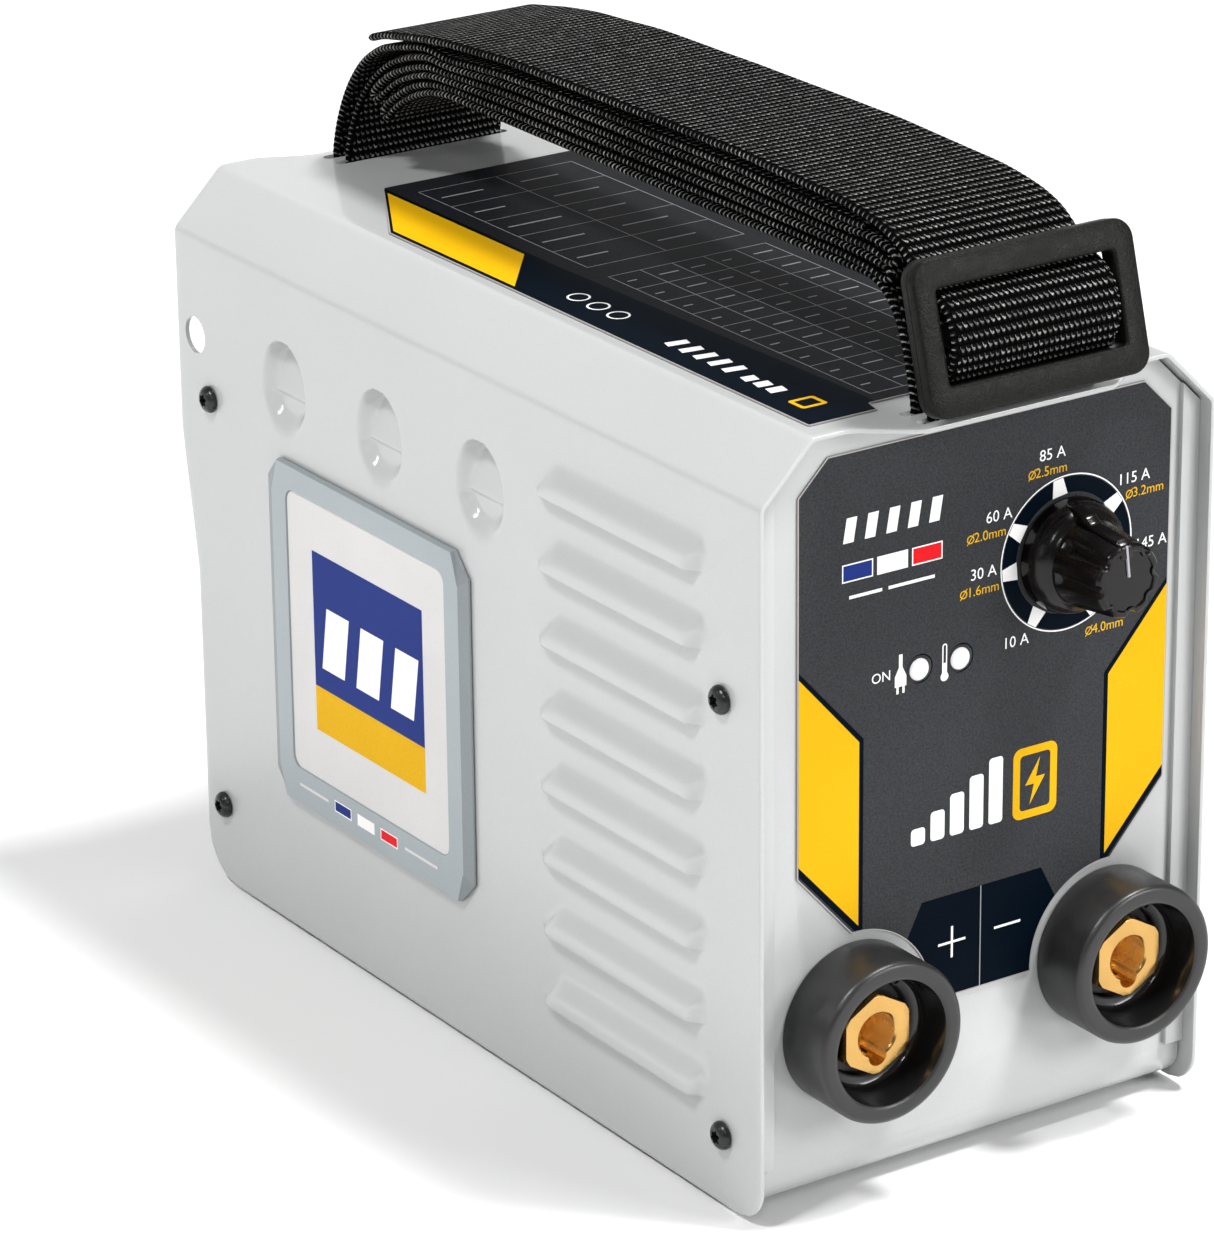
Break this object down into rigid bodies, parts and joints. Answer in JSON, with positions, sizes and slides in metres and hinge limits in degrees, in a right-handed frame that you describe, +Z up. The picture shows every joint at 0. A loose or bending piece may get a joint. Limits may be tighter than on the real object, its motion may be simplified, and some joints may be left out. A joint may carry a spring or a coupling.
{
  "type": "stick welder",
  "caption": "Small portable stick welder: folded sheet case with louvres, current knob, two weld sockets, rear fan and switch, and a webbing carrying strap with a buckle.",
  "frame": {"origin": "on the floor under the middle of the whole object's box, feet on z = 0", "axes": "+Z up; the front panel faces -Y; X runs across the case"},
  "size_m": [0.121, 0.2466, 0.2108],
  "materials": {
    "powder_coat": "light grey powder coat, fine texture",
    "dark_label": "dark grey printed film",
    "badge_grey": "satin grey",
    "black_screw": "blackened steel",
    "smoke_plastic": "smoky translucent plastic",
    "black_plastic": "moulded black plastic",
    "lamp": "milky lens",
    "brass": "machined brass",
    "steel": "zinc plated steel",
    "board_green": "solder mask",
    "aluminium": "extruded, anodised",
    "ferrite": "sintered ferrite",
    "copper": "enamelled winding",
    "rubber": "moulded rubber",
    "webbing": "woven black webbing"
  },
  "bodies": {
    "case": {"buckle": "black_plastic", "cable_gland": "black_plastic", "capacitor_1": "black_plastic", "capacitor_2": "black_plastic", "chassis": "powder_coat", "control_board": "board_green", "cover": "powder_coat", "cover_screw_1": "black_screw", "cover_screw_2": "black_screw", "cover_screw_3": "black_screw", "cover_screw_4": "black_screw", "cover_screw_5": "black_screw", "cover_screw_6": "black_screw", "cover_screw_7": "black_screw", "cover_screw_8": "black_screw", "fan_frame": "black_plastic", "fan_guard": "steel", "fan_screw_1": "black_screw", "fan_screw_2": "black_screw", "fan_screw_3": "black_screw", "fan_screw_4": "black_screw", "foot_1": "rubber", "foot_2": "rubber", "foot_3": "rubber", "foot_4": "rubber", "front_label": "dark_label", "gland_nut": "black_plastic", "left_heat_sink": "aluminium", "left_transistor": "black_plastic", "main_board": "board_green", "negative_collar": "black_plastic", "negative_insert": "brass", "negative_insulator": "black_plastic", "negative_nut": "steel", "output_choke": "copper", "positive_collar": "black_plastic", "positive_insert": "brass", "positive_insulator": "black_plastic", "positive_nut": "steel", "pot_body": "steel", "pot_nut": "steel", "power_lamp": "lamp", "right_heat_sink": "aluminium", "right_transistor": "black_plastic", "side_badge": "badge_grey", "standoff_1": "brass", "standoff_2": "brass", "standoff_3": "brass", "standoff_4": "brass", "strap": "webbing", "switch_body": "black_plastic", "thermal_lamp": "lamp", "top_label": "dark_label", "transformer_coil": "copper", "transformer_core": "ferrite"},
    "knob": {"knob": "smoke_plastic", "pot_shaft": "steel"},
    "rocker": {"switch_rocker": "black_plastic"},
    "fan_rotor": {"fan_rotor": "black_plastic"}
  },
  "joints": [
    {"name": "knob_turn", "type": "hinge", "parent": "case", "child": "knob", "pos_m": [0.0224, -0.115, 0.1308], "axis": [0, 1, 0], "range_deg": [-141, 159]},
    {"name": "rocker_tip", "type": "hinge", "parent": "case", "child": "rocker", "pos_m": [-0.027, 0.10225, 0.134], "axis": [1, 0, 0], "range_deg": [-20, 0]},
    {"name": "fan_spin", "type": "hinge", "parent": "case", "child": "fan_rotor", "pos_m": [0, 0.08825, 0.064], "axis": [0, 1, 0], "continuous": true}
  ]
}
